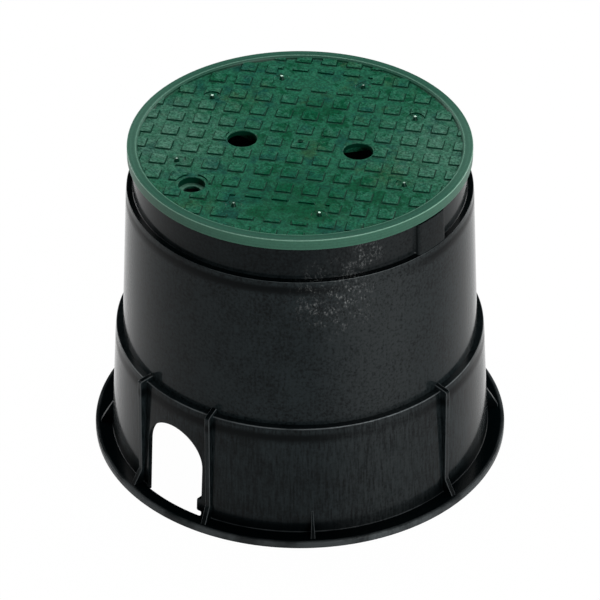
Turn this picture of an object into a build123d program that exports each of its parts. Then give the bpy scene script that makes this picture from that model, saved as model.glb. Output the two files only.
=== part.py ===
from build123d import *
from math import asin, cos, degrees, hypot, radians, sin, tan
import os

# A round irrigation valve box: a two tier tapered shell with a ground flange, two pipe
# openings and a lid seat, and a drop-in lid with square treads.
# Millimetres and degrees, +Z up, the origin on the ground under the middle of the box.

# Shell, from the ground up: radii of its outside, and how far the flange stands out past the foot
flange_width = 13.3
flange_thick = 5.3
foot_radius = 147.8
lower_tier = 98.8
lower_ledge = 5.3
upper_tier = 125.2
upper_ledge = 4.9
collar_rise = 32.0
wall = 4.0
lower_draft = 3.36
upper_draft = 2.75

# Softened edges of the shell, and how its wall leans in under each rim
flange_edge = 0.8
crease_edge = 0.7
rim_edge = 0.9
rim_lean = 1.0
rim_lean_rise = 6.5
rim_lean_edge = 1.5
seat_edge = 0.4

# Pipe openings at both ends of the Y axis, each with a moulded stub on one side
opening_width = 55.2
opening_height = 75.0
stub_reach = 3.8
stub_low = 8.3
stub_high = 19.7
stub_round = 1.5

# Ribs that stand on the flange and reach over the lower ledge
rib_thick = 4.0
rib_margin = 6.9
rib_foot_margin = 4.1
rib_foot_rise = 12.5
rib_stand = 1.9
rib_lean = 1.4
rib_shoulder = 1.4
rib_crest = 3.8
rib_corner = 2.0

# Small gussets between the ribs, thinner towards their tips
gusset_foot_thick = 4.0
gusset_tip_thick = 1.4
gusset_foot_margin = 4.3
gusset_foot_height = 1.8
gusset_rise = 19.2

# Pads outside the collar and, behind them, lugs that take the lid's bolt
pad_width = 30.0
pad_reach = 4.2
pad_round = 2.0
pad_sink = 0.3
pad_lid_gap = 1.5
lug_radius = 95.8
lug_hole = 8.5
lug_boss = 22.0
lug_thick = 8.0
lug_root_width = 32.0
lug_lid_gap = 2.5
web_thick = 4.0
web_spread = 14.0

# Lid: a plate in a raised border, which rests on the collar between a skirt and a spigot
lid_turn = 30.2
border_thick = 4.4
border_rise = 2.8
border_width = 8.4
border_slope = 1.4
border_inner_edge = 1.0
border_outer_edge = 0.7
skirt_gap = 1.0
skirt_thick = 2.3
skirt_drop = 4.5
spigot_gap = 0.8
spigot_thick = 2.5
spigot_drop = 9.5
plate_thick = 4.1

# Ribs under the lid
lid_rib_count = 8
lid_rib_thick = 2.5
lid_rib_depth = 7.0
hub_radius = 19.0
ring_radius = 69.0

# Treads, a lattice of low squares centred on the lid, with two bare bands
tread_pitch = 19.89
tread_size = 11.8
tread_height = 1.2
tread_draft = 8.0
tread_least = 2.4
band_length = 74.6
band_width = 24.9
band_offset = 88.75

# Finger holes and bolt hole of the lid, each in a bare ring
finger_hole = 22.4
finger_offset = 44.2
finger_edge = 0.6
finger_margin = 1.6
bolt_side = 225.0
bolt_hole = 13.0
bolt_sink = 20.0
bolt_sink_depth = 5.9
bolt_floor = 1.9
bolt_boss_wall = 3.0
bolt_margin = 2.3

# Gate marks of the moulding: dished rings with a nub, and one stub near the middle
gate_radius = 94.0
gate_angles = [33.4, 70.3, -24.1, -70.3]
gate_dish = 12.6
gate_dish_depth = 0.4
gate_margin = 0.7
gate_nub = 3.2
gate_nub_height = 2.5
stub_gate_offset = 2.0
stub_gate_width = 4.0
stub_gate_height = 2.5


def leaned(radius, rise, draft):
    # the radius of a drafted wall once it has risen this far from where it had that radius
    return radius - rise * tan(radians(draft))


def polar(radius, angle):
    return (radius * cos(radians(angle)), radius * sin(radians(angle)))


def section(corners):
    # a closed outline in the upright plane, from corners of radius, height and edge break
    points = []
    for index, (radius, height, edge) in enumerate(corners):
        here = Vector(radius, height)
        if edge == 0:
            points.append(here)
        else:
            for other in (corners[index - 1], corners[(index + 1) % len(corners)]):
                towards = (Vector(other[0], other[1]) - here).normalized()
                points.append(here + towards * edge)
    with BuildSketch(Plane.XZ) as outline:
        with BuildLine():
            Polyline(*points, close=True)
        make_face()
    return outline.sketch


def rim(foot, bottom, top, draft):
    # outer corners at the top of a tier, where its wall leans in to a softened edge
    bend = top - rim_lean_rise
    return [
        (leaned(foot, bend - bottom, draft), bend, rim_lean_edge),
        (leaned(foot, top - bottom, draft) - rim_lean, top, rim_edge),
    ]


# Heights and radii that follow
upper_top = lower_tier + upper_tier
seat_height = upper_top + collar_rise
flange_radius = foot_radius + flange_width
lower_rim = leaned(foot_radius, lower_tier - flange_thick, lower_draft)
upper_foot = lower_rim - lower_ledge
upper_rim = leaned(upper_foot, upper_tier, upper_draft)
collar_radius = upper_rim - upper_ledge
collar_inner = collar_radius - wall
half_wall = wall / 2
lid_top = seat_height + border_thick
field_height = lid_top - border_rise
plate_bottom = field_height - plate_thick
skirt_bottom = seat_height - skirt_drop
skirt_inner = collar_radius + skirt_gap
lid_radius = skirt_inner + skirt_thick
field_radius = lid_radius - border_width
spigot_bottom = seat_height - spigot_drop
spigot_radius = collar_inner - spigot_gap
spigot_inner = spigot_radius - spigot_thick
lug_top = min(plate_bottom - lid_rib_depth, spigot_bottom) - lug_lid_gap
lid_plane = Plane.XY.rotated((0, 0, lid_turn))

# Pipe opening cutter: an arch through the wall, inside the flange's outer part, that goes
# round the stub
with BuildPart() as opening:
    arch_radius = opening_width / 2
    arch_centre = opening_height - arch_radius
    with BuildSketch(Plane.XZ):
        with Locations((0, arch_centre / 2)):
            Rectangle(opening_width, arch_centre)
        with Locations((0, arch_centre)):
            Circle(arch_radius)
        with Locations((arch_radius, (stub_low + stub_high) / 2)):
            RectangleRounded(2 * stub_reach, stub_high - stub_low, stub_round, mode=Mode.SUBTRACT)
    extrude(amount=flange_radius)
    with BuildSketch():
        Circle(foot_radius + crease_edge)
    extrude(amount=opening_height, mode=Mode.INTERSECT)

# Rib, with its root inside the wall
with BuildPart() as rib:
    rib_face = foot_radius + rib_stand
    rib_section = section([
        (foot_radius - half_wall, flange_thick / 2, 0),
        (flange_radius - rib_foot_margin, flange_thick / 2, 0),
        (flange_radius - rib_foot_margin, flange_thick, 0),
        (rib_face, flange_thick + rib_foot_rise, 0),
        (rib_face - rib_lean, lower_tier + rib_shoulder, rib_corner),
        (upper_foot - half_wall, lower_tier + rib_crest, 0),
        (upper_foot - half_wall, lower_tier - half_wall, 0),
        (lower_rim - half_wall, lower_tier - half_wall, 0),
    ])
    extrude(rib_section, amount=rib_thick / 2, both=True)

# Gusset: a sloped web, then trimmed to its taper as seen from outside the box
with BuildPart() as gusset:
    gusset_top = flange_thick + gusset_rise
    gusset_back = leaned(foot_radius, gusset_rise, lower_draft) - half_wall
    gusset_section = section([
        (gusset_back, flange_thick / 2, 0),
        (flange_radius - gusset_foot_margin, flange_thick / 2, 0),
        (flange_radius - gusset_foot_margin, flange_thick + gusset_foot_height, 0),
        (leaned(foot_radius, gusset_rise, lower_draft), gusset_top, 0),
        (gusset_back, gusset_top, 0),
    ])
    extrude(gusset_section, amount=gusset_foot_thick, both=True)
    with BuildSketch(Plane.YZ):
        with BuildLine():
            Polyline(
                (-gusset_foot_thick / 2, 0),
                (gusset_foot_thick / 2, 0),
                (gusset_tip_thick / 2, gusset_top),
                (-gusset_tip_thick / 2, gusset_top),
                close=True,
            )
        make_face()
    extrude(amount=flange_radius, mode=Mode.INTERSECT)

# Pads: both at once, on a ring sunk inside the collar's wall, so that their inner roundings
# run into the collar, and within a drafted cone
with BuildPart() as pads:
    pad_radius = collar_radius + pad_reach
    pad_bottom = upper_top - half_wall
    pad_top = skirt_bottom - pad_lid_gap
    with BuildSketch(Plane.XY.offset(pad_bottom)) as pad_plan:
        Circle(pad_radius)
        Rectangle(2 * pad_radius, pad_width, mode=Mode.INTERSECT)
        Circle(collar_radius - pad_sink)
        fillet(pad_plan.vertices(), radius=pad_round)
        Circle(collar_radius - half_wall, mode=Mode.SUBTRACT)
    extrude(amount=pad_top - pad_bottom)
    pad_cone = section([
        (0, pad_bottom, 0),
        (leaned(pad_radius, -half_wall, upper_draft), pad_bottom, 0),
        (leaned(pad_radius, pad_top - upper_top, upper_draft), pad_top, 0),
        (0, pad_top, 0),
    ])
    revolve(pad_cone, axis=Axis.Z, mode=Mode.INTERSECT)

# Lug: a shelf with a hole, carried on two webs
with BuildPart() as lug:
    lug_root = collar_radius - half_wall
    with BuildSketch(Plane.XY.offset(lug_top)):
        with Locations((lug_radius, 0)):
            Circle(lug_boss / 2)
        with Locations((lug_root - half_wall / 2, 0)):
            Rectangle(half_wall, lug_root_width)
        make_hull()
    extrude(amount=-lug_thick)
    for side in (-1, 1):
        with BuildSketch(Plane.XZ.offset(side * web_spread / 2)):
            with BuildLine():
                Polyline(
                    (lug_radius, lug_top - lug_thick / 2),
                    (lug_root, lug_top - lug_thick / 2),
                    (lug_root, upper_top - half_wall),
                    (lug_radius, lug_top - lug_thick),
                    close=True,
                )
            make_face()
        extrude(amount=web_thick / 2, both=True)
    with Locations((lug_radius, 0, lug_top)):
        Hole(lug_hole / 2)

# Body: the shell with its ribs, gussets, pads, openings and lugs
with BuildPart() as body:
    shell_section = section([
        (flange_radius, 0, flange_edge / 2),
        (flange_radius, flange_thick, flange_edge),
        (foot_radius, flange_thick, crease_edge),
        *rim(foot_radius, flange_thick, lower_tier, lower_draft),
        (upper_foot, lower_tier, crease_edge),
        *rim(upper_foot, lower_tier, upper_top, upper_draft),
        (collar_radius, upper_top, crease_edge),
        (collar_radius, seat_height, seat_edge),
        (collar_inner, seat_height, seat_edge),
        (collar_inner, upper_top - wall, 0),
        (leaned(upper_rim, -wall, upper_draft) - wall, upper_top - wall, 0),
        (leaned(upper_foot, -wall, upper_draft) - wall, lower_tier - wall, 0),
        (leaned(lower_rim, -wall, lower_draft) - wall, lower_tier - wall, 0),
        (leaned(foot_radius, -flange_thick, lower_draft) - wall, 0, 0),
    ])
    revolve(shell_section, axis=Axis.Z)
    rib_step = degrees(asin((opening_width / 2 + rib_margin) / foot_radius))
    rib_angles = [0, 90 - rib_step, 90 + rib_step, 180, 270 - rib_step, 270 + rib_step]
    with Locations(*[Location((0, 0, 0), (0, 0, angle)) for angle in rib_angles]):
        add(rib.part)
    with PolarLocations(0, 4, start_angle=45):
        add(gusset.part)
    add(pads.part)
    with PolarLocations(0, 2):
        add(lug.part)
        add(opening.part, mode=Mode.SUBTRACT)

# Treads: tapered squares, trimmed to the bare bands and rings
reach = int(field_radius / tread_pitch)
tread_centres = [
    (column * tread_pitch, row * tread_pitch)
    for column in range(-reach, reach + 1)
    for row in range(-reach, reach + 1)
    if hypot(
        max(abs(column) * tread_pitch - tread_size / 2, 0),
        max(abs(row) * tread_pitch - tread_size / 2, 0),
    ) < field_radius - tread_least
]
gate_sites = [polar(gate_radius, angle) for angle in gate_angles]
gate_sites += [polar(gate_radius, 180 - angle) for angle in gate_angles]
finger_sites = [(-finger_offset, 0), (finger_offset, 0)]
bolt_site = polar(lug_radius, bolt_side)

with BuildPart() as treads:
    with BuildSketch(lid_plane.offset(field_height)):
        with Locations(*tread_centres):
            Rectangle(tread_size, tread_size)
    extrude(amount=tread_height, taper=tread_draft)
    with BuildSketch(lid_plane.offset(field_height)):
        Circle(field_radius + border_slope)
        with GridLocations(0, 2 * band_offset, 1, 2):
            Rectangle(band_length, band_width, mode=Mode.SUBTRACT)
        with Locations(*gate_sites):
            Circle(gate_dish / 2 + gate_margin, mode=Mode.SUBTRACT)
        with Locations(*finger_sites):
            Circle(finger_hole / 2 + finger_margin, mode=Mode.SUBTRACT)
        with Locations(bolt_site):
            Circle(bolt_sink / 2 + bolt_margin, mode=Mode.SUBTRACT)
    extrude(amount=tread_height, mode=Mode.INTERSECT)

# Lid
with BuildPart() as lid:
    lid_section = section([
        (0, plate_bottom, 0),
        (spigot_inner, plate_bottom, 0),
        (spigot_inner, spigot_bottom, 0),
        (spigot_radius, spigot_bottom, 0),
        (spigot_radius, seat_height, 0),
        (skirt_inner, seat_height, 0),
        (skirt_inner, skirt_bottom, 0),
        (lid_radius, skirt_bottom, 0),
        (lid_radius, lid_top, border_outer_edge),
        (field_radius + border_slope, lid_top, border_inner_edge),
        (field_radius, field_height, 0),
        (0, field_height, 0),
    ])
    revolve(lid_section, axis=Axis.Z)
    # Hub, ring and spokes under the plate, with the spokes clear of the holes
    with BuildSketch(lid_plane.offset(plate_bottom)):
        for radius in (hub_radius, ring_radius):
            Circle(radius + lid_rib_thick / 2)
            Circle(radius - lid_rib_thick / 2, mode=Mode.SUBTRACT)
        with PolarLocations((hub_radius + spigot_inner) / 2, lid_rib_count, 180 / lid_rib_count):
            Rectangle(spigot_inner - hub_radius + lid_rib_thick / 2, lid_rib_thick)
    extrude(amount=-lid_rib_depth)
    # Boss around the sunk bolt hole
    boss_bottom = field_height - bolt_sink_depth - bolt_floor
    with BuildSketch(lid_plane.offset(boss_bottom)):
        with Locations(bolt_site):
            Circle(bolt_sink / 2 + bolt_boss_wall)
    extrude(amount=plate_bottom - boss_bottom)
    add(treads.part)
    with Locations(lid_plane.offset(field_height)):
        with Locations(bolt_site):
            CounterBoreHole(bolt_hole / 2, bolt_sink / 2, bolt_sink_depth)
        with Locations(*finger_sites):
            Hole(finger_hole / 2)
        with Locations(*[(x, y, -gate_dish_depth / 2) for x, y in gate_sites]):
            Cylinder(gate_dish / 2, gate_dish_depth, mode=Mode.SUBTRACT)
        with Locations(*[(x, y, gate_nub_height / 2 - gate_dish_depth) for x, y in gate_sites]):
            Cylinder(gate_nub / 2, gate_nub_height)
        with Locations((0, stub_gate_offset, stub_gate_height / 2)):
            Cylinder(stub_gate_width / 2, stub_gate_height)
    finger_edges = lid.edges().filter_by(GeomType.CIRCLE).filter_by(
        lambda edge: abs(edge.radius - finger_hole / 2) < 0.01
    )
    chamfer(finger_edges.group_by(Axis.Z)[-1], length=finger_edge)

os.makedirs("parts", exist_ok=True)
body.part.label = "box_body"
lid.part.label = "lid"
export_step(body.part, "parts/box_body.step")
export_step(lid.part, "parts/lid.step")
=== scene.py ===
import math

import bmesh
import bpy
from mathutils import Matrix, Vector


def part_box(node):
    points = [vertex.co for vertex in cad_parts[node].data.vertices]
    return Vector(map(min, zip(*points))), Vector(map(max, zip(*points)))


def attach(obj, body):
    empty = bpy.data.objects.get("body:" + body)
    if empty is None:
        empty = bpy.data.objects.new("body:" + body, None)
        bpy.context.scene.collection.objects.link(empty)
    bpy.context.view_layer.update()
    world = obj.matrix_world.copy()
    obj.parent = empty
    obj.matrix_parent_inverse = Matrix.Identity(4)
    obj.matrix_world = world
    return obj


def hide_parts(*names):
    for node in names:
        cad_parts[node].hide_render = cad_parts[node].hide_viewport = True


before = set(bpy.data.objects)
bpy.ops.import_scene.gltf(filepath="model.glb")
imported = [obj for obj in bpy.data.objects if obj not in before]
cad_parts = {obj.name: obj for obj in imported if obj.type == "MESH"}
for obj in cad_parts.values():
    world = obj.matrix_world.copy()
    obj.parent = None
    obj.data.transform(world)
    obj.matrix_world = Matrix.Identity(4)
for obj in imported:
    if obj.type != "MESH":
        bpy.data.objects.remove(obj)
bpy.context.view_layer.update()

# Round irrigation valve box: black two tier shell, green treaded lid.
# The box's tables are in millimetres, which become metres when a mesh is made.
mm = 0.001
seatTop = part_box("box_body")[1].z / mm          # the lid's border rests here
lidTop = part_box("lid")[1].z / mm
skirtDrop = 4.5                                 # how far the lid's skirt hangs below the seat
print("frame loaded")


# Mesh tools

sharpAngle = 0.6                                # edges that bend by more, in radians, can be rounded
smoothAngle = 32                                # faces look smooth across edges that bend by less, in degrees
onAxis = 0.001                                  # points nearer to the axis than this are joined
weldWidth = 0.002                               # corners nearer to each other than this are joined
slack = 0.01                                    # allowed for when heights are compared


def rounded(corners, steps=5):                  # corners are x, z and the radius of their rounding
    points = []
    for index, (x, z, radius) in enumerate(corners):
        here = Vector((x, z))
        if radius == 0:
            points.append(here)
            continue
        before = (Vector(corners[index - 1][:2]) - here).normalized()
        after = (Vector(corners[(index + 1) % len(corners)][:2]) - here).normalized()
        half = before.angle(after) / 2
        centre = here + (before + after).normalized() * radius / math.sin(half)
        start = here + before * radius / math.tan(half) - centre
        end = here + after * radius / math.tan(half) - centre
        turn = math.atan2(start.cross(end), start.dot(end))
        for step in range(steps + 1):
            points.append(centre + Matrix.Rotation(turn * step / steps, 2) @ start)
    return points


def leaned(radius, rise, draft):                # a drafted wall's radius after this rise
    return radius - rise * math.tan(math.radians(draft))


def polar(radius, degrees):
    return Vector((radius * math.cos(math.radians(degrees)), radius * math.sin(math.radians(degrees)), 0))


def spun(outline, count, at=(0, 0, 0)):         # a closed solid of revolution about +Z
    work = bmesh.new()
    poles = {}
    rings = []
    for turn in range(count):
        angle = 2 * math.pi * turn / count
        ring = []
        for index, (radius, height) in enumerate(outline):
            if radius < onAxis:                 # one point for all the rings
                if index not in poles:
                    poles[index] = work.verts.new((at[0], at[1], height + at[2]))
                ring.append(poles[index])
            else:
                x = radius * math.cos(angle) + at[0]
                y = radius * math.sin(angle) + at[1]
                ring.append(work.verts.new((x, y, height + at[2])))
        rings.append(ring)
    for here, there in zip(rings, rings[1:] + rings[:1]):
        for index in range(len(outline)):
            after = (index + 1) % len(outline)
            corners = list(dict.fromkeys((here[index], there[index], there[after], here[after])))
            if len(corners) > 2:
                work.faces.new(corners)
    return work


def disc(radius, low, high, count, at=(0, 0, 0)):
    return spun([(0, low), (radius, low), (radius, high), (0, high)], count, at)


def stacked(rings):                             # a closed solid through outlines of x, y and z
    work = bmesh.new()
    loops = [[work.verts.new(point) for point in ring] for ring in rings]
    work.faces.new(loops[0])
    work.faces.new(loops[-1])
    for here, there in zip(loops, loops[1:]):
        for index in range(len(here)):
            after = (index + 1) % len(here)
            work.faces.new((here[index], here[after], there[after], there[index]))
    return work


def slab(outline, low, high):                   # a plan outline raised from low to high
    return stacked([[(point[0], point[1], height) for point in outline] for height in (low, high)])


def block(left, right, near, far, low, high):
    return slab([(left, near), (right, near), (right, far), (left, far)], low, high)


def upright(outline, thick):                    # a radial profile of x and z, given a thickness along Y
    work = slab(outline, -thick / 2, thick / 2)
    work.transform(Matrix.Rotation(math.radians(90), 4, "X"))
    return work


# Rounds the sharp edges that pick chooses. The roundings take the material of slot, or their faces' own.
def soften(work, width, steps=2, pick=lambda edge: True, slot=-1):
    bmesh.ops.recalc_face_normals(work, faces=work.faces)
    edges = [edge for edge in work.edges if edge.calc_face_angle(0) > sharpAngle and pick(edge)]
    bmesh.ops.bevel(
        work, geom=edges, offset=width, segments=steps, profile=0.5,
        affect="EDGES", clamp_overlap=True, material=slot,
    )
    return work


def gather(target, source, *places):            # copies source into target at each place
    bmesh.ops.recalc_face_normals(source, faces=source.faces)
    for place in places or (Matrix.Identity(4),):
        links = {vert: target.verts.new(place @ vert.co) for vert in source.verts}
        for face in source.faces:
            target.faces.new([links[vert] for vert in face.verts]).material_index = face.material_index


def about(*degrees):
    return [Matrix.Rotation(math.radians(angle), 4, "Z") for angle in degrees]


def moved(*sites):
    return [Matrix.Translation(site) for site in sites]


def made(name, work):                           # a mesh object in metres from a bmesh in millimetres
    bmesh.ops.recalc_face_normals(work, faces=work.faces)
    work.transform(Matrix.Scale(mm, 4))
    mesh = bpy.data.meshes.new(name)
    work.to_mesh(mesh)
    work.free()
    piece = bpy.data.objects.new(name, mesh)
    bpy.context.scene.collection.objects.link(piece)
    return piece


def applied(piece, kind, **settings):           # one modifier, with its result kept as the mesh
    modifier = piece.modifiers.new(kind.title(), kind)
    for name, value in settings.items():
        setattr(modifier, name, value)
    graph = bpy.context.evaluated_depsgraph_get()
    result = bpy.data.meshes.new_from_object(piece.evaluated_get(graph))
    piece.modifiers.clear()
    piece.data = result


def carved(piece, tool, operation="DIFFERENCE", overlapping=False):
    applied(piece, "BOOLEAN", object=tool, operation=operation, solver="EXACT", use_self=overlapping)
    bpy.data.objects.remove(tool)


def shaded(piece, *materials):                  # smooth faces that stay sharp across steeper edges
    work = bmesh.new()
    work.from_mesh(piece.data)
    bmesh.ops.remove_doubles(work, verts=work.verts, dist=weldWidth * mm)
    for face in work.faces:
        face.smooth = True
    for edge in work.edges:
        edge.smooth = len(edge.link_faces) == 2 and edge.calc_face_angle(0) < math.radians(smoothAngle)
    work.to_mesh(piece.data)
    work.free()
    applied(piece, "WEIGHTED_NORMAL", keep_sharp=True, weight=80)
    for material in materials:
        piece.data.materials.append(material)


# Shader tools

class Wire:                                     # an output socket that can be used in sums
    def __init__(self, finish, socket):
        self.finish = finish
        self.socket = socket

    def __add__(self, other):
        return self.finish.maths("ADD", self, other)

    def __sub__(self, other):
        return self.finish.maths("SUBTRACT", self, other)

    def __rsub__(self, other):
        return self.finish.maths("SUBTRACT", other, self)

    def __mul__(self, other):
        return self.finish.maths("MULTIPLY", self, other)

    def __gt__(self, other):
        return self.finish.maths("GREATER_THAN", self, other)

    __radd__ = __add__
    __rmul__ = __mul__


class Finish:                                   # a node tree being built
    def __init__(self, owner):
        owner.use_nodes = True
        self.owner = owner
        self.tree = owner.node_tree
        self.tree.nodes.clear()

    def node(self, kind, settings=None, inputs=None, output=0):
        new = self.tree.nodes.new(kind)
        for name, value in (settings or {}).items():
            setattr(new, name, value)
        pairs = inputs.items() if isinstance(inputs, dict) else enumerate(inputs or [])
        for key, value in pairs:
            if isinstance(value, Wire):
                self.tree.links.new(value.socket, new.inputs[key])
            else:
                new.inputs[key].default_value = value
        return Wire(self, new.outputs[output]) if len(new.outputs) else None

    def maths(self, operation, *values):
        return self.node("ShaderNodeMath", {"operation": operation}, values)

    def vector(self, operation, *values, output=0):
        return self.node("ShaderNodeVectorMath", {"operation": operation}, values, output)

    def larger(self, first, second):
        return self.maths("MAXIMUM", first, second)

    def ray(self, kind):
        return self.node("ShaderNodeLightPath", output=kind)

    def seen(self, mirrored):                   # 1 for camera and transmission rays, mirrored for glossy ones
        mirror = self.larger(self.ray("Is Glossy Ray") * mirrored, self.ray("Is Transmission Ray"))
        return self.larger(self.ray("Is Camera Ray"), mirror)

    def place(self):                            # position on the part, in metres
        return self.node("ShaderNodeTexCoord", output="Object")

    def rise(self, where):                      # a place's height, or how far a normal points up
        return self.node("ShaderNodeSeparateXYZ", {}, [where], 2)

    def flat(self, where):                      # a place without its height
        return self.vector("MULTIPLY", where, (1, 1, 0))

    def reach(self, where):                     # distance from the part's upright axis
        return self.vector("LENGTH", self.flat(where), output=1)

    def profile(self, reach, height):           # the same all the way round the part
        return self.node("ShaderNodeCombineXYZ", {}, [reach, height, 0.0])

    def noise(self, where, size, detail, rough, stretch=(1, 1, 1)):
        return self.node("ShaderNodeTexNoise", {}, {
            "Vector": self.vector("MULTIPLY", where, stretch), "Scale": 1 / (size * mm),
            "Detail": detail, "Roughness": rough,
        })

    def spread(self, value, low, high, start=0.0, end=1.0):
        return self.node("ShaderNodeMapRange", {"interpolation_type": "SMOOTHSTEP"}, {
            "Value": value, "From Min": low, "From Max": high, "To Min": start, "To Max": end,
        })

    def between(self, length, low, high, start=0.0, end=1.0):    # a spread over low mm to high mm
        return self.spread(length, low * mm, high * mm, start, end)

    def near(self, where, centre, inner, outer):    # 1 within inner mm of a point, 0 beyond outer mm
        away = self.vector("DISTANCE", where, [value * mm for value in centre], output=1)
        return self.between(away, inner, outer, 1.0, 0.0)

    def blend(self, factor, first, second):     # sockets 0, 6 and 7 are the factor and the two colours
        return self.node("ShaderNodeMix", {"data_type": "RGBA"}, {0: factor, 6: first, 7: second}, 2)

    def dim(self, colour, share):               # a colour made lighter or darker
        inputs = {"Vector": colour, "Scale": share}
        return self.node("ShaderNodeVectorMath", {"operation": "SCALE"}, inputs)

    def bump(self, height, strength, distance):
        inputs = {"Height": height, "Strength": strength, "Distance": distance * mm}
        return self.node("ShaderNodeBump", {}, inputs)

    def close(self, shader, kind="ShaderNodeOutputMaterial"):
        self.node(kind, {}, {"Surface": shader})
        return self.owner


def paint(red, green, blue):                    # a display colour as the shader wants it
    def linear(value):
        value = value / 255
        return value / 12.92 if value <= 0.04045 else ((value + 0.055) / 1.055) ** 2.4
    return (linear(red), linear(green), linear(blue), 1.0)


# Materials. In their tables a noise is its size, detail, roughness and stretch, a spot is x, y, z and
# an inner and outer radius, and a range is from, to and, where they aren't 0 and 1, the results there.

blackPlastic = dict(
    base=paint(1, 4, 5), dusty=paint(28, 35, 37), highlight=paint(44, 48, 49), scuff=paint(138, 141, 141),
    glint=paint(112, 118, 120), gloss=0.03, grainDepth=0.12,
    roughness=0.5, roughCloud=0.15, roughGrain=0.25, roughLevel=0.28,
    coat=1.0, coatIor=1.135, coatRoughness=0.12, collarCoat=0.25, shadeCoat=0.45,
    cloud=(30, 3.0, 0.6), pebble=(2.2, 3.0, 0.65), streak=(1.7, 2.0, 0.6, (1, 1, 0.11)),
    speck=(1.6, 5.0, 0.8, (1, 1, 0.6)), cluster=(8, 3.0, 0.6),
    # painted shade on the collar under the lid and on faces that look up, less on the lower ledge
    upperFrom=(97, 100), collarFrom=(223, 225), collarShade=0.45,
    level=(0.6, 0.9), levelShade=0.9, ledgeLow=(98.4, 98.7), ledgeHigh=(99.5, 99.0), ledgeLight=0.35,
    # bands of painted shade near the foot and below each rim
    shadeFoot=(19, 10), shadeBands=((84, 95.5), (211, 221.5)), bandShift=2, shadeShare=0.95,
    dustGrain=(0.4, 0.74), speckGrain=(0.48, 0.72), clusterGrain=(0.46, 0.6, 0.1, 1.0),
    scuffs=((106, -80, 207, 5, 42), (112.7, -56.4, 239, 2, 19)),
    # where the painted highlight patch lies, how high it reaches and its grain
    highlightAt=(124, -50, 0), highlightInner=4, highlightOuter=62,
    highlightHeight=(30, 200, 0.4, 0.65), highlightGrain=(0.42, 0.78, 0.4, 1.7),
    # painted highlight lines round the flange's edge, the lower tier's foot, both rims and the collar's foot
    glintCore=0.4, glintCloud=(0.35, 0.6, 0.3, 1.0), glintsOnHighlight=1.2,
    glintRings=(                                 # radius, height, width and share
        (161.1, 3.0, 4.2, 0.33),                # flange
        (148.2, 5.8, 0.6, 0.35),                # foot of the lower tier
        (142.0, 98.5, 0.7, 0.5),                # lower rim
        (130.9, 223.8, 0.5, 0.7),               # upper rim
        (126.7, 225.2, 0.7, 0.4),               # foot of the collar
    ),
)


def makeBlack(name, glintEverywhere):                    # the second argument is how much painted highlight pales the whole surface
    look = blackPlastic
    finish = Finish(bpy.data.materials.new(name))
    where = finish.place()
    height = finish.rise(where)
    reach = finish.reach(where)
    upper = finish.between(height, *look["upperFrom"])
    collar = finish.between(height, *look["collarFrom"])
    normal = finish.node("ShaderNodeNewGeometry", output="Normal")
    # painted shade on faces that look up, lighter on the lower ledge
    ledge = finish.between(height, *look["ledgeLow"]) * finish.between(height, *look["ledgeHigh"])
    level = finish.spread(finish.rise(normal), *look["level"]) * (1 - look["ledgeLight"] * ledge)
    smooth = finish.between(height, *look["shadeFoot"])    # painted shade, darker and with a thinner coat, near the foot and below each rim
    for low, high in look["shadeBands"]:
        middle = (low + high) / 2
        fade = finish.between(height, high, middle + look["bandShift"])
        smooth = smooth + finish.between(height, low, middle) * fade
    cloud = finish.noise(where, *look["cloud"])
    pebble = finish.noise(where, *look["pebble"])
    streak = finish.noise(where, *look["streak"])
    grain = pebble * (0.5 + 0.5 * upper) + streak * (0.7 - 0.4 * upper)
    dust = finish.spread(0.3 * cloud + 0.7 * grain, *look["dustGrain"])
    colour = finish.blend(dust, look["base"], look["dusty"])
    # painted shade near the foot and below each rim
    colour = finish.blend(look["shadeShare"] * smooth, colour, look["base"])
    # painted highlight: a broad pale patch on the walls, grained like the surface
    highlight = finish.near(finish.flat(where), look["highlightAt"], look["highlightInner"], look["highlightOuter"])
    highlight = highlight * finish.between(height, *look["highlightHeight"]) * finish.spread(grain, *look["highlightGrain"])
    colour = finish.blend(highlight, colour, look["highlight"])
    shade = finish.larger(look["collarShade"] * collar, look["levelShade"] * level)
    colour = finish.blend(shade, colour, look["base"])
    speck = finish.spread(finish.noise(where, *look["speck"]), *look["speckGrain"])
    speck = speck * finish.spread(finish.noise(where, *look["cluster"]), *look["clusterGrain"])
    for x, y, z, inner, outer in look["scuffs"]:
        colour = finish.blend(speck * finish.near(where, (x, y, z), inner, outer), colour, look["scuff"])
    profile = finish.profile(reach, height)
    # painted highlight: pale lines round the rims, creases and flange edge, patchy and stronger in the
    # highlight patch
    patchy = finish.spread(cloud, *look["glintCloud"]) + look["glintsOnHighlight"] * highlight
    glintAmount = glintEverywhere
    for radius, z, width, share in look["glintRings"]:
        ring = finish.near(profile, (radius, z, 0), width * look["glintCore"], width)
        glintAmount = glintAmount + share * ring * patchy
    colour = finish.blend(glintAmount, colour, look["glint"])
    rough = look["roughness"] + look["roughCloud"] * (cloud - 0.5) + look["roughGrain"] * (grain - 0.6)
    rough = rough - look["roughLevel"] * level
    shader = finish.node("ShaderNodeBsdfPrincipled", {}, {
        "Base Color": colour, "Roughness": rough, "Specular IOR Level": look["gloss"],
        "Coat Weight": look["coat"] - look["collarCoat"] * collar - look["shadeCoat"] * smooth,
        "Coat IOR": look["coatIor"], "Coat Roughness": look["coatRoughness"],
        "Normal": finish.bump(grain, 1.0, look["grainDepth"]),
    })
    return finish.close(shader)


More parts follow.
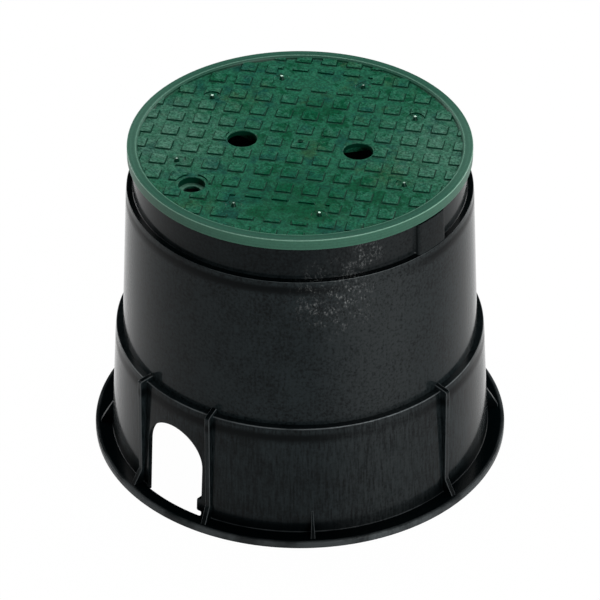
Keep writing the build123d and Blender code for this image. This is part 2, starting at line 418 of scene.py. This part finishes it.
greenPlastic = dict(
    clear=paint(23, 78, 58), deep=paint(1, 62, 39), teal=paint(10, 62, 51), olive=paint(32, 70, 44),
    # the very dark green here is painted shade
    dusty=paint(66, 100, 86), shadeGreen=paint(0, 44, 30), roughness=0.42, gloss=0.06, grainDepth=0.09,
    cloud=(30, 4.0, 0.6), tint=(19, 3.0, 0.6, (1, 1, 3)), blotch=(6, 4.0, 0.7), grain=(1.7, 3.0, 0.75),
    # spots of painted sheen on the lid's left and right, and of painted shade across its middle
    sheenSpots=((-96, -66, 256, 20, 100), (96, 78, 256, 20, 90)),
    shadeSpots=((46, -58, 256, 15, 75), (-20, 45, 256, 5, 32)),
    tealTint=(0.52, 0.68), oliveCloud=(0.54, 0.7), deepCloud=(0.5, 0.38), grainLight=(0.3, 0.7, 0.5, 1.55),
    deepRange=(0.2, 1.0), shadeSpotDeep=0.6, shadeSpotGrey=0.25,
    dustBlotch=1.1, dustGrain=0.8, sheenSpotGrey=0.45, sheenSpotDeep=0.4,
    bumpStrength=0.4, roughGrain=0.2, treadShade=(0.7, 1.2), treadDust=0.14,
)


def mottled(finish, where, dust):               # the lid's clouded green, dust greying it all over, with spots of painted sheen and of painted shade
    look = greenPlastic
    cloud = finish.noise(where, *look["cloud"])
    tint = finish.noise(where, *look["tint"])
    blotch = finish.noise(where, *look["blotch"])
    grain = finish.noise(where, *look["grain"])
    colour = finish.blend(finish.spread(tint, *look["tealTint"]), look["clear"], look["teal"])
    olive = finish.spread(0.7 * cloud + 0.3 * blotch, *look["oliveCloud"])
    colour = finish.blend(olive, colour, look["olive"])
    deep = finish.spread(0.6 * tint + 0.4 * blotch, *look["deepCloud"])
    dustAndSheen = dust + look["dustBlotch"] * (blotch - 0.5) + look["dustGrain"] * (grain - 0.5)
    # painted shade: spots where the green is deeper and less grey
    for x, y, z, inner, outer in look["shadeSpots"]:
        spot = finish.near(where, (x, y, z), inner, outer)
        deep = deep + look["shadeSpotDeep"] * spot
        dustAndSheen = dustAndSheen - look["shadeSpotGrey"] * spot
    # painted sheen: spots where the green is greyer and less deep
    for x, y, z, inner, outer in look["sheenSpots"]:
        spot = finish.near(where, (x, y, z), inner, outer)
        dustAndSheen = dustAndSheen + look["sheenSpotGrey"] * spot
        deep = deep - look["sheenSpotDeep"] * spot
    colour = finish.blend(finish.spread(deep, *look["deepRange"]), colour, look["deep"])
    colour = finish.blend(finish.spread(dustAndSheen, 0.0, 1.0), colour, look["dusty"])
    return finish.dim(colour, finish.spread(grain, *look["grainLight"])), grain


def polished(finish, colour, grain, look):      # closes a green finish
    shader = finish.node("ShaderNodeBsdfPrincipled", {}, {
        "Base Color": colour, "Roughness": look["roughness"] + greenPlastic["roughGrain"] * (grain - 0.5),
        "Specular IOR Level": look["gloss"],
        "Normal": finish.bump(grain, greenPlastic["bumpStrength"], greenPlastic["grainDepth"]),
    })
    return finish.close(shader)


def makeGreen(name, low, high, dust):           # painted shade, dark green, up to low mm and mottled green from high mm up
    finish = Finish(bpy.data.materials.new(name))
    where = finish.place()
    colour, grain = mottled(finish, where, dust)
    lit = finish.between(finish.rise(where), low, high)
    return polished(finish, finish.blend(lit, greenPlastic["shadeGreen"], colour), grain, greenPlastic)


# Depths of the wall and the sink are below the field, the others below the border's top.
borderPlastic = dict(
    # the side is a lighter copy of the top's green as painted light, and the pale edge colour is painted
    # highlight
    top=paint(36, 76, 62), side=paint(54, 96, 79), edge=paint(130, 172, 152), roughness=0.4, gloss=0.12,
    foot=(120.2, 121.2), start=(121.5, 121.8), outer=(124, 126),
    wallShadeDepth=(0.5, 1.2), sinkDepth=(5.2, 5.8), sinkEnd=6.2, sinkLight=0.22, footShade=0.8,
    litSideDepth=(0.8, 1.4), glintDepth=(0.15, 0.5), glintShare=0.7,
    innerGlint=(122.9, 0.2, 0.2, 0.7), innerGlintShare=0.3,    # radius, depth, inner and outer radius
    sheenSpotShare=0.5, turned=(0.55, 2.0, 0.6), turnedLight=(0.3, 0.7, 0.75, 1.25),
)


def makePlateFinish():                          # the field's green with the turned border around it, with painted shade, painted light and painted highlight lines
    look = borderPlastic
    finish = Finish(bpy.data.materials.new("green_plate"))
    where = finish.place()
    height = finish.rise(where)
    reach = finish.reach(where)
    field, grain = mottled(finish, where, 0.0)
    wallTop, wallLow = look["wallShadeDepth"]
    sinkTop, sinkLow = look["sinkDepth"]
    # painted shade darkens the holes' walls and the field at the border's foot; the bolt sink's floor stays
    # lit and is paled as painted light
    sink = finish.between(height, fieldTop - sinkTop, fieldTop - sinkLow)
    lit = finish.between(height, fieldTop - wallLow, fieldTop - wallTop) + sink
    field = finish.blend(lit, greenPlastic["shadeGreen"], field)
    sink = sink * (height > (fieldTop - look["sinkEnd"]) * mm)
    field = finish.blend(look["sinkLight"] * sink, field, look["edge"])
    foot = look["footShade"] * finish.between(reach, *look["foot"])
    field = finish.blend(foot, field, greenPlastic["shadeGreen"])

    profile = finish.profile(reach, height)
    turned = finish.noise(profile, *look["turned"])
    sideTop, sideLow = look["litSideDepth"]
    edgeTop, edgeLow = look["glintDepth"]
    lineReach, lineDepth, lineInner, lineOuter = look["innerGlint"]
    # painted light on the border's outer side, painted highlight lines on its outer and inner top edges
    side = finish.between(height, lidTop - sideTop, lidTop - sideLow)
    border = look["top"]
    # painted sheen: the same spots pale the border too
    for x, y, z, inner, outer in greenPlastic["sheenSpots"]:
        dust = look["sheenSpotShare"] * finish.near(where, (x, y, z), inner, outer)
        border = finish.blend(dust, border, greenPlastic["dusty"])
    border = finish.blend(side, border, look["side"])
    glint = finish.between(height, lidTop - edgeTop, lidTop - edgeLow) * (1 - side)
    glint = glint * finish.between(reach, *look["outer"])
    glintLine = finish.near(profile, (lineReach, lidTop - lineDepth, 0), lineInner, lineOuter)
    border = finish.blend(look["glintShare"] * (glint + look["innerGlintShare"] * glintLine), border, look["edge"])
    border = finish.dim(border, finish.spread(0.6 * turned + 0.4 * grain, *look["turnedLight"]))
    return polished(finish, finish.blend(finish.between(reach, *look["start"]), field, border), grain, look)


gatePlastic = dict(
    # the body's dark green is painted shade and the tip's near white a painted highlight
    body=paint(0, 42, 29), tip=paint(190, 222, 205), roughness=0.35, gloss=0.1,
    glintHeight=(2.0, 2.3), glintsBeyond=20,        # the stub near the middle gets no painted highlight
)


def makeGateFinish():                           # shiny pins painted dark as shade, whose tips are painted pale as highlight
    look = gatePlastic
    finish = Finish(bpy.data.materials.new("green_gate"))
    where = finish.place()
    low, high = look["glintHeight"]
    tipGlint = finish.between(finish.rise(where), fieldTop + low, fieldTop + high)
    tipGlint = tipGlint * (finish.reach(where) > look["glintsBeyond"] * mm)
    shader = finish.node("ShaderNodeBsdfPrincipled", {}, {
        "Base Color": finish.blend(tipGlint, look["body"], look["tip"]),
        "Roughness": look["roughness"], "Specular IOR Level": look["gloss"],
    })
    return finish.close(shader)


# Shell

shell = dict(
    flangeRadius=161.1, flangeThick=5.3, flangeRound=1.2,
    footRadius=147.8, lowerTop=98.8, lowerLedge=5.3, lowerDraft=3.36,
    upperTop=224.0, upperLedge=4.9, upperDraft=2.75, wall=4.0,
    creaseRound=0.5, rimRound=0.8, rimLean=0.35, rimLeanRise=6.5, rimLeanRound=30.0,
    innerRound=1.5, seatRound=0.6, sides=288,
)
lowerDraft = shell["lowerDraft"]
upperDraft = shell["upperDraft"]
lowerRim = leaned(shell["footRadius"], shell["lowerTop"] - shell["flangeThick"], lowerDraft)
upperFoot = lowerRim - shell["lowerLedge"]
upperRim = leaned(upperFoot, shell["upperTop"] - shell["lowerTop"], upperDraft)
collarRadius = upperRim - shell["upperLedge"]
collarInner = collarRadius - shell["wall"]


def rim(foot, bottom, top, draft):              # the wall leans in a little more below its rounded rim
    bend = top - shell["rimLeanRise"]
    return [
        (leaned(foot, bend - bottom, draft), bend, shell["rimLeanRound"]),
        (leaned(foot, top - bottom, draft) - shell["rimLean"], top, shell["rimRound"]),
    ]


def makeShell():
    wall = shell["wall"]
    crease = shell["creaseRound"]
    inner = shell["innerRound"]
    return spun(rounded([
        (shell["flangeRadius"], 0, shell["flangeRound"] / 2),
        (shell["flangeRadius"], shell["flangeThick"], shell["flangeRound"]),
        (shell["footRadius"], shell["flangeThick"], crease),
        *rim(shell["footRadius"], shell["flangeThick"], shell["lowerTop"], lowerDraft),
        (upperFoot, shell["lowerTop"], 0),
        *rim(upperFoot, shell["lowerTop"], shell["upperTop"], upperDraft),
        (collarRadius, shell["upperTop"], crease),
        (collarRadius, seatTop, shell["seatRound"]),
        (collarInner, seatTop, shell["seatRound"]),
        (collarInner, shell["upperTop"] - wall, inner),
        (leaned(upperRim, -wall, upperDraft) - wall, shell["upperTop"] - wall, inner),
        (leaned(upperFoot, -wall, upperDraft) - wall, shell["lowerTop"] - wall, inner),
        (leaned(lowerRim, -wall, lowerDraft) - wall, shell["lowerTop"] - wall, inner),
        (leaned(shell["footRadius"], -shell["flangeThick"], lowerDraft) - wall, 0, 0),
    ]), shell["sides"])


opening = dict(
    width=55.2, height=75.0, beyondFoot=1.6, below=3.0, depth=60.0, over=5.0, archSteps=32,
    stubReach=3.8, stubLow=8.3, stubHigh=19.7, stubRound=1.5, limitLow=-20, limitHigh=100, limitSides=144,
)


def makeOpeningTool():                          # an arch that goes round the stub and ends inside the flange
    half = opening["width"] / 2
    spring = opening["height"] - half
    stubIn = half - opening["stubReach"]
    turn = opening["stubRound"]
    path = [
        (-half, -opening["below"], 0),
        (half, -opening["below"], 0),
        (half, opening["stubLow"], turn / 2),
        (stubIn, opening["stubLow"], turn),
        (stubIn, opening["stubHigh"], turn),
        (half, opening["stubHigh"], turn / 2),
    ]
    for step in range(opening["archSteps"] + 1):
        angle = math.pi * step / opening["archSteps"]
        path.append((half * math.cos(angle), spring + half * math.sin(angle), 0))
    reach = shell["footRadius"] + opening["beyondFoot"]
    arch = slab(rounded(path), reach - opening["depth"], reach + opening["over"])
    arch.transform(Matrix.Rotation(math.radians(90), 4, "X"))
    both = bmesh.new()
    gather(both, arch, *about(0, 180))
    tool = made("openingTool", both)
    limit = disc(reach, opening["limitLow"], opening["limitHigh"], opening["limitSides"])
    carved(tool, made("openingLimit", limit), "INTERSECT")
    return tool


glintSlot = 1                                    # the rounded edges of ribs and gussets take the finish paled as painted highlight
ribs = dict(
    thick=4.0, margin=6.9, footReach=9.2, footRise=12.5, footRound=3.0, stand=1.9, lean=1.4,
    shoulder=1.4, crest=3.8, corner=2.0, edge=0.5,
)
gussets = dict(
    footThick=4.0, tipThick=1.4, reach=9.0, footHeight=1.8, rise=19.2, edge=0.35,
    angles=(45, 135, 225, 315),
)


def makeRib():
    face = shell["footRadius"] + ribs["stand"]
    foot = shell["footRadius"] + ribs["footReach"]
    half = shell["wall"] / 2
    work = upright(rounded([
        (shell["footRadius"] - half, shell["flangeThick"] / 2, 0),
        (foot, shell["flangeThick"] / 2, 0),
        (foot, shell["flangeThick"], 0),
        (face, shell["flangeThick"] + ribs["footRise"], ribs["footRound"]),
        (face - ribs["lean"], shell["lowerTop"] + ribs["shoulder"], ribs["corner"]),
        (upperFoot - half, shell["lowerTop"] + ribs["crest"], 0),
        (upperFoot - half, shell["lowerTop"] - half, 0),
        (lowerRim - half, shell["lowerTop"] - half, 0),
    ]), ribs["thick"])

    def outside(edge):
        return max(vert.co.x for vert in edge.verts) > upperFoot

    return soften(work, ribs["edge"], steps=3, pick=outside, slot=glintSlot)


def makeGusset():                               # a sloped web that gets thinner upwards
    back = leaned(shell["footRadius"], gussets["rise"], lowerDraft)
    foot = shell["footRadius"] + gussets["reach"]
    top = shell["flangeThick"] + gussets["rise"]
    half = shell["wall"] / 2
    work = upright([
        (back - half, shell["flangeThick"] / 2),
        (foot, shell["flangeThick"] / 2),
        (foot, shell["flangeThick"] + gussets["footHeight"]),
        (back, top),
        (back - half, top),
    ], gussets["footThick"])
    for vert in work.verts:
        vert.co.y *= 1 - vert.co.z / top * (1 - gussets["tipThick"] / gussets["footThick"])
    return soften(work, gussets["edge"], slot=glintSlot)


pads = dict(width=30.0, reach=4.2, round=2.0, flare=6.0, sunk=0.15, lidGap=1.5, edge=0.7, arcSteps=8)


def makePad():                                  # a patch outside the collar, drafted as the upper tier is
    outer = collarRadius + pads["reach"]
    half = pads["width"] / 2
    side = math.degrees(math.asin(half / outer))
    inner = math.degrees(math.asin(half / collarRadius))
    flare = math.degrees(math.asin((half + pads["flare"]) / collarRadius))
    sunk = collarRadius - pads["sunk"]
    buried = collarRadius - shell["wall"] / 2
    turn = pads["round"]
    arc = [side * (2 * step / pads["arcSteps"] - 1) for step in range(1, pads["arcSteps"])]
    corners = [                                 # radius, angle and rounding
        (buried, -flare, 0), (sunk, -flare, 0), (collarRadius, -inner, turn), (outer, -side, turn),
        *[(outer, angle, 0) for angle in arc],
        (outer, side, turn), (collarRadius, inner, turn), (sunk, flare, 0), (buried, flare, 0),
    ]
    low = shell["upperTop"] - shell["wall"] / 2
    high = seatTop - skirtDrop - pads["lidGap"]
    plan = rounded([(*polar(radius, angle)[:2], bend) for radius, angle, bend in corners])
    work = slab(plan, low, high)

    def onTop(edge):
        return min(vert.co.z for vert in edge.verts) > high - slack

    soften(work, pads["edge"], steps=3, pick=onTop)
    for vert in work.verts:
        if vert.co.xy.length > collarRadius:
            lean = (vert.co.z - low) * math.tan(math.radians(upperDraft))
            vert.co.x -= lean * (vert.co.xy.length - collarRadius) / pads["reach"]
    return work


lugs = dict(
    radius=95.8, hole=8.5, holeDepth=20.0, holeSides=48, boss=22.0, thick=8.0, rootWidth=32.0, top=244.0,
    arcSteps=24, edge=0.5, webThick=4.0, webSpread=14.0, webEdge=0.4,
)


def makeLug():                                  # a shelf with a bolt hole, carried on two webs
    root = collarRadius - shell["wall"] / 2
    rootInner = root - shell["wall"] / 2
    half = lugs["rootWidth"] / 2
    bossRound = lugs["boss"] / 2
    top = lugs["top"]
    low = top - lugs["thick"]
    lean = math.atan2(half - bossRound, root - lugs["radius"])
    outline = [(root, -half), (root, half), (rootInner, half)]
    for step in range(lugs["arcSteps"] + 1):
        angle = math.pi / 2 + lean + (math.pi - 2 * lean) * step / lugs["arcSteps"]
        outline.append((lugs["radius"] + bossRound * math.cos(angle), bossRound * math.sin(angle)))
    outline.append((rootInner, -half))
    piece = made("lug", soften(slab(outline, low, top), lugs["edge"]))
    depth = lugs["holeDepth"]
    hole = disc(lugs["hole"] / 2, top - depth, top + depth, lugs["holeSides"], (lugs["radius"], 0, 0))
    carved(piece, made("lugHole", hole))
    whole = bmesh.new()
    whole.from_mesh(piece.data)
    whole.transform(Matrix.Scale(1 / mm, 4))    # back to millimetres
    bpy.data.objects.remove(piece)
    web = soften(upright([
        (lugs["radius"], top - lugs["thick"] / 2),
        (root, top - lugs["thick"] / 2),
        (root, shell["upperTop"] - shell["wall"] / 2),
        (lugs["radius"], low),
    ], lugs["webThick"]), lugs["webEdge"])
    aside = lugs["webSpread"] / 2
    gather(whole, web, *moved((0, -aside, 0), (0, aside, 0)))
    return whole


body = made("boxShell", makeShell())
carved(body, makeOpeningTool())
print("shell carved", len(body.data.polygons))

ribStep = math.degrees(math.asin((opening["width"] / 2 + ribs["margin"]) / shell["footRadius"]))
trim = bmesh.new()
gather(trim, makeRib(), *about(0, 90 - ribStep, 90 + ribStep, 180, 270 - ribStep, 270 + ribStep))
gather(trim, makeGusset(), *about(*gussets["angles"]))
gather(trim, makePad(), *about(0, 180))
gather(trim, makeLug(), *about(0, 180))
bodyTrim = made("boxRibs", trim)
print("ribs, gussets, pads and lugs made", len(bodyTrim.data.polygons))

blackFinish = makeBlack("black_polyethylene", glintEverywhere=0.0)
# the finish of the rib and gusset edges, paled all over as painted highlight
edgeFinish = makeBlack("black_edge", glintEverywhere=0.3)
for piece in (body, bodyTrim):
    shaded(piece, blackFinish, edgeFinish)
    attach(piece, "box")
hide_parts("box_body")
print("body finished")


# Lid

lid = dict(
    turn=30.2, borderRise=2.8, borderWidth=8.4, borderSlope=1.4, borderInnerRound=1.5, borderOuterRound=1.0,
    skirtGap=1.0, skirtThick=2.3, skirtInnerRound=0.3, skirtOuterRound=0.5,
    spigotGap=0.8, spigotThick=2.5, spigotDrop=9.5, spigotRound=0.4,
    plateThick=4.1, plateRound=1.5, fieldRound=0.7, sides=288,
    ribCount=8, ribThick=2.5, ribDepth=7.0, ribEdge=0.4, ribSunk=0.5, spokeSunk=1.0,
    hubRadius=19.0, ringRadius=69.0, ringSides=96,
)
fieldTop = lidTop - lid["borderRise"]
plateLow = fieldTop - lid["plateThick"]
lidRadius = collarRadius + lid["skirtGap"] + lid["skirtThick"]
fieldRadius = lidRadius - lid["borderWidth"]
spigotRadius = collarInner - lid["spigotGap"]
spigotInner = spigotRadius - lid["spigotThick"]
lidTurn = Matrix.Rotation(math.radians(lid["turn"]), 4, "Z")

holes = dict(
    finger=22.4, fingerOffset=44.2, fingerRound=0.8, fingerMargin=1.6, fingerDepth=5.0,
    bolt=13.0, boltSide=225.0, boltRound=0.5, boltMargin=2.3, boltDepth=12.0, boltFloor=1.9,
    boltSink=20.0, boltSinkDepth=5.9, bossWall=3.0, bossSunk=1.0, over=5.0, mouthOver=3.0, sides=64,
)
gates = dict(
    radius=94.0, angles=(33.4, 70.3, -24.1, -70.3), dish=12.6, dishDepth=0.6, dishSlope=0.6, dishRound=0.5,
    dishOver=0.2, dishSides=40, margin=0.7,
    nub=4.2, nubTip=2.0, nubHeight=3.1, nubSunk=0.8, nubFoot=0.1, nubFootRound=0.3, nubTipRound=0.8,
    nubSides=20, uneven=0.06, unevenTurn=5.1, lean=0.12, leanTurns=(2.3, 3.7),
    stubOffset=2.0, stubWidth=4.0, stubHeight=2.5, stubRound=0.5, stubSides=32,
)
gateSites = [polar(gates["radius"], angle) for angle in gates["angles"]]
gateSites += [polar(gates["radius"], 180 - angle) for angle in gates["angles"]]
fingerSites = [Vector((holes["fingerOffset"], 0, 0)), Vector((-holes["fingerOffset"], 0, 0))]
boltSite = polar(lugs["radius"], holes["boltSide"])


def makePlate():                                # the plate in its border, with skirt and spigot
    skirtInner = collarRadius + lid["skirtGap"]
    skirtLow = seatTop - skirtDrop
    spigotLow = seatTop - lid["spigotDrop"]
    return spun(rounded([
        (0, plateLow, 0),
        (spigotInner, plateLow, lid["plateRound"]),
        (spigotInner, spigotLow, lid["spigotRound"]),
        (spigotRadius, spigotLow, lid["spigotRound"]),
        (spigotRadius, seatTop, 0),
        (skirtInner, seatTop, 0),
        (skirtInner, skirtLow, lid["skirtInnerRound"]),
        (lidRadius, skirtLow, lid["skirtOuterRound"]),
        (lidRadius, lidTop, lid["borderOuterRound"]),
        (fieldRadius + lid["borderSlope"], lidTop, lid["borderInnerRound"]),
        (fieldRadius, fieldTop, lid["fieldRound"]),
        (0, fieldTop, 0),
    ]), lid["sides"])


def boredTool(radius, depth, lip, sink=None):   # a cutter whose mouth is flared by the lip's radius
    low = plateLow - depth
    high = fieldTop + holes["over"]
    mouth = sink or radius
    far = mouth + holes["mouthOver"]
    outline = [(0, low, 0), (radius, low, 0)]
    if sink:
        sinkLow = fieldTop - holes["boltSinkDepth"]
        outline += [(radius, sinkLow, 0), (sink, sinkLow, 0)]
    outline += [(mouth, fieldTop, lip), (far, fieldTop, 0), (far, high, 0), (0, high, 0)]
    return spun(rounded(outline), holes["sides"])


def makeLidTool():                              # finger holes, bolt hole and the gate marks' dishes
    cutters = bmesh.new()
    finger = boredTool(holes["finger"] / 2, holes["fingerDepth"], holes["fingerRound"])
    gather(cutters, finger, *moved(*fingerSites))
    bolt = boredTool(holes["bolt"] / 2, holes["boltDepth"], holes["boltRound"], holes["boltSink"] / 2)
    gather(cutters, bolt, *moved(boltSite))
    edge = gates["dish"] / 2
    low = fieldTop - gates["dishDepth"]
    high = fieldTop + gates["dishOver"]
    dish = spun(rounded([
        (0, low, 0), (edge - gates["dishSlope"], low, gates["dishRound"]), (edge, high, 0), (0, high, 0),
    ], steps=3), gates["dishSides"])
    gather(cutters, dish, *moved(*gateSites))
    cutters.transform(lidTurn)
    return made("lidTool", cutters)


def makeBoss():                                 # carries the floor of the bolt's sink
    low = fieldTop - holes["boltSinkDepth"] - holes["boltFloor"]
    outer = holes["boltSink"] / 2 + holes["bossWall"]
    boss = disc(outer, low, plateLow + holes["bossSunk"], holes["sides"], boltSite)
    boss.transform(lidTurn)
    return made("boltBoss", boss)


def makeLidRibs():                              # hub, ring and spokes under the plate
    low = plateLow - lid["ribDepth"]
    high = plateLow + lid["ribSunk"]
    half = lid["ribThick"] / 2
    edge = lid["ribEdge"]
    whole = bmesh.new()
    for radius in (lid["hubRadius"], lid["ringRadius"]):
        inner = radius - half
        outer = radius + half
        ring = rounded([(inner, low, edge), (outer, low, edge), (outer, high, 0), (inner, high, 0)], steps=3)
        gather(whole, spun(ring, lid["ringSides"]))
    spoke = block(lid["hubRadius"], spigotInner + lid["spokeSunk"], -half, half, low, high)

    def below(edge):
        return max(vert.co.z for vert in edge.verts) < low + slack

    soften(spoke, lid["ribEdge"], pick=below)
    turns = [(index + 0.5) * 360 / lid["ribCount"] for index in range(lid["ribCount"])]
    gather(whole, spoke, *about(*turns))
    whole.transform(lidTurn)
    return made("lidRibs", whole)


treads = dict(
    pitch=19.89, size=11.8, height=1.3, draft=10.0, edge=0.4, bevelShare=0.3, corner=1.0, least=2.4,
    fillet=((0.55, -0.4), (0.55, 0.03), (0.12, 0.2), (-0.02, 0.45)),    # stands out by, at this height
    slopeReach=0.8, limitSides=180, ringSides=48, cut=3.0,
    bandLength=74.6, bandWidth=24.9, bandOffset=88.75,
)


def makeTread():                                # a drafted square with a filleted foot and a softened top
    half = treads["size"] / 2
    high = treads["height"]
    top = half - high * math.tan(math.radians(treads["draft"]))
    edge = treads["edge"]
    turn = treads["corner"]
    profile = [(half + out, height) for out, height in treads["fillet"]]
    bevel = edge * treads["bevelShare"]
    profile += [(top, high - edge), (top - bevel, high - bevel), (top - edge, high)]
    rings = []
    for size, height in profile:
        corners = [(-size, -size), (size, -size), (size, size), (-size, size)]
        plan = rounded([(x, y, turn) for x, y in corners], steps=3)
        rings.append([(point.x, point.y, height) for point in plan])
    return stacked(rings)


def makeTreads():                               # the lattice, cut off at the border, the holes and the marks
    reach = int(fieldRadius / treads["pitch"])
    half = treads["size"] / 2
    lattice = [step * treads["pitch"] for step in range(-reach, reach + 1)]
    sites = []
    for x in lattice:
        for y in lattice:
            nearest = math.hypot(max(abs(x) - half, 0), max(abs(y) - half, 0))
            if nearest < fieldRadius - treads["least"]:
                sites.append((x, y, fieldTop))
    whole = bmesh.new()
    gather(whole, makeTread(), *moved(*sites))
    piece = made("lidTreads", whole)
    low = fieldTop - treads["cut"]
    high = fieldTop + treads["cut"]
    limit = fieldRadius + lid["borderSlope"] * treads["slopeReach"]
    carved(piece, made("treadLimit", disc(limit, low, high, treads["limitSides"])), "INTERSECT")
    bare = bmesh.new()
    long = treads["bandLength"] / 2
    wide = treads["bandWidth"] / 2
    for middle in (-treads["bandOffset"], treads["bandOffset"]):
        gather(bare, block(-long, long, middle - wide, middle + wide, low, high))
    rings = [(site, gates["dish"] / 2 + gates["margin"]) for site in gateSites]
    rings += [(site, holes["finger"] / 2 + holes["fingerMargin"]) for site in fingerSites]
    rings += [(boltSite, holes["boltSink"] / 2 + holes["boltMargin"])]
    for site, radius in rings:
        gather(bare, disc(radius, low, high, treads["ringSides"], site))
    carved(piece, made("treadBare", bare), overlapping=True)
    piece.data.transform(lidTurn)
    return piece


def makeNubs():                                 # what the moulding gates leave, each a little different
    whole = bmesh.new()
    wide = gates["nub"] / 2
    tip = gates["nubTip"] / 2
    foot = gates["nubFoot"]
    low = -gates["nubSunk"]
    turnX, turnY = gates["leanTurns"]
    for index, site in enumerate(gateSites):
        shorter = gates["uneven"] * (1 - math.sin(gates["unevenTurn"] * index))
        tall = gates["nubHeight"] * (1 - shorter)
        nub = spun(rounded([
            (0, low, 0), (wide, low, 0), (wide, foot, gates["nubFootRound"]),
            (tip, tall, tip * gates["nubTipRound"]), (0, tall, 0),
        ], steps=3), gates["nubSides"])
        for vert in nub.verts:
            lean = gates["lean"] * max(vert.co.z, 0)
            vert.co.x += lean * math.sin(turnX * index)
            vert.co.y += lean * math.cos(turnY * index)
        gather(whole, nub, *moved(site + Vector((0, 0, fieldTop - gates["dishDepth"]))))
    stub = gates["stubWidth"] / 2
    high = gates["stubHeight"]
    mark = rounded([(0, 0, 0), (stub, 0, 0), (stub, high, gates["stubRound"]), (0, high, 0)], steps=4)
    gather(whole, spun(mark, gates["stubSides"]), *moved((0, gates["stubOffset"], fieldTop)))
    whole.transform(lidTurn)
    return made("gateMarks", whole)


plate = made("lidPlate", makePlate())
carved(plate, makeBoss(), "UNION")
carved(plate, makeLidTool())
print("lid plate carved", len(plate.data.polygons))

# the treads' feet and lower sides get painted shade
sideLow, sideHigh = [fieldTop + height for height in greenPlastic["treadShade"]]
lidPieces = [
    (plate, makePlateFinish()),
    (makeLidRibs(), makeGreen("green_under", low=0, high=1, dust=0.0)),
    (makeTreads(), makeGreen("green_tread", sideLow, sideHigh, greenPlastic["treadDust"])),
    (makeNubs(), makeGateFinish()),
]
for piece, material in lidPieces:
    shaded(piece, material)
    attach(piece, "cover")
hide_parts("lid")
print("lid made", sum(len(piece.data.polygons) for piece, material in lidPieces))


# Stage, lights and camera. Their lengths are in metres, apart from the lens and its sensor.

view = dict(
    aim=(0, 0, 0.1147), azimuth=41.4, elevation=35.68, distance=2.6898,
    lens=209.3, sensor=36.0, far=50,
)


def aimed(name, data, azimuth, elevation, distance):    # azimuth 0 is in front, and positive to the right
    across = math.radians(azimuth)
    rise = math.radians(elevation)
    side = distance * math.cos(rise)
    aim = Vector(view["aim"])
    thing = bpy.data.objects.new(name, data)
    offset = Vector((side * math.sin(across), -side * math.cos(across), distance * math.sin(rise)))
    thing.location = aim + offset
    thing.rotation_euler = (aim - thing.location).to_track_quat("-Z", "Y").to_euler()
    bpy.context.scene.collection.objects.link(thing)
    return thing


def makeCamera():
    data = bpy.data.cameras.new("camera")
    data.lens = view["lens"]
    data.sensor_width = view["sensor"]
    data.clip_end = view["far"]
    eye = aimed("camera", data, view["azimuth"], view["elevation"], view["distance"])
    bpy.context.scene.camera = eye


white = (1, 1, 1, 1)
stage = dict(
    size=8.0, drop=0.0003, floor=(0.78, 0.78, 0.78, 1.0), shown=0.99, darkWithin=0.15,
    fill=0.12, bandLow=0.03, bandHigh=0.3,
)


def makeFloor():                                # white in a gloss too, except under the box
    work = bmesh.new()
    bmesh.ops.create_grid(work, x_segments=1, y_segments=1, size=stage["size"] / 2 / mm)
    work.transform(Matrix.Translation((0, 0, -stage["drop"] / mm)))
    floor = made("floor", work)
    finish = Finish(bpy.data.materials.new("pale_floor"))
    seen = finish.seen(finish.reach(finish.place()) > stage["darkWithin"])
    matt = finish.node("ShaderNodeBsdfDiffuse", {}, {"Color": stage["floor"]})
    shining = finish.node("ShaderNodeEmission", {}, {"Color": white, "Strength": 1.0})
    mixed = finish.node("ShaderNodeMixShader", {}, [seen * stage["shown"], matt, shining])
    floor.data.materials.append(finish.close(mixed))


lights = dict(
    overhead=dict(azimuth=180, elevation=76, distance=1.9, size=(1.0, 1.0), power=24),
    key=dict(azimuth=32, elevation=28, distance=1.6, size=(0.5, 0.5), power=14),
    backRight=dict(azimuth=125, elevation=25, distance=1.2, size=(0.4, 0.8), power=7),
    backLeft=dict(azimuth=-125, elevation=25, distance=1.2, size=(0.4, 0.8), power=7),
)


def makeLight(name, azimuth, elevation, distance, size, power):    # its azimuth is from the camera's
    data = bpy.data.lights.new(name, "AREA")
    data.shape = "RECTANGLE"
    data.size, data.size_y = size
    data.energy = power
    aimed(name, data, view["azimuth"] + azimuth, elevation, distance)


def makeWorld():                                # white to the camera, dim as light, a white band in a gloss
    world = bpy.data.worlds.new("studio")
    bpy.context.scene.world = world
    finish = Finish(world)
    band = finish.spread(finish.rise(finish.place()), stage["bandLow"], stage["bandHigh"], 1.0, 0.0)
    shown = finish.node("ShaderNodeBackground", {}, {"Color": white, "Strength": 1.0})
    fill = finish.node("ShaderNodeBackground", {}, {"Color": white, "Strength": stage["fill"]})
    black = finish.node("ShaderNodeBackground", {}, {"Color": (0, 0, 0, 1), "Strength": 0.0})
    unseen = finish.node("ShaderNodeMixShader", {}, [finish.ray("Is Glossy Ray"), fill, black])
    mixed = finish.node("ShaderNodeMixShader", {}, [finish.seen(band), unseen, shown])
    finish.close(mixed, "ShaderNodeOutputWorld")


makeCamera()
makeFloor()
for lightName, light in lights.items():
    makeLight(lightName, **light)
makeWorld()
bpy.context.scene.view_settings.view_transform = "Standard"
print("stage, lights and camera set")

bpy.context.view_layer.update()
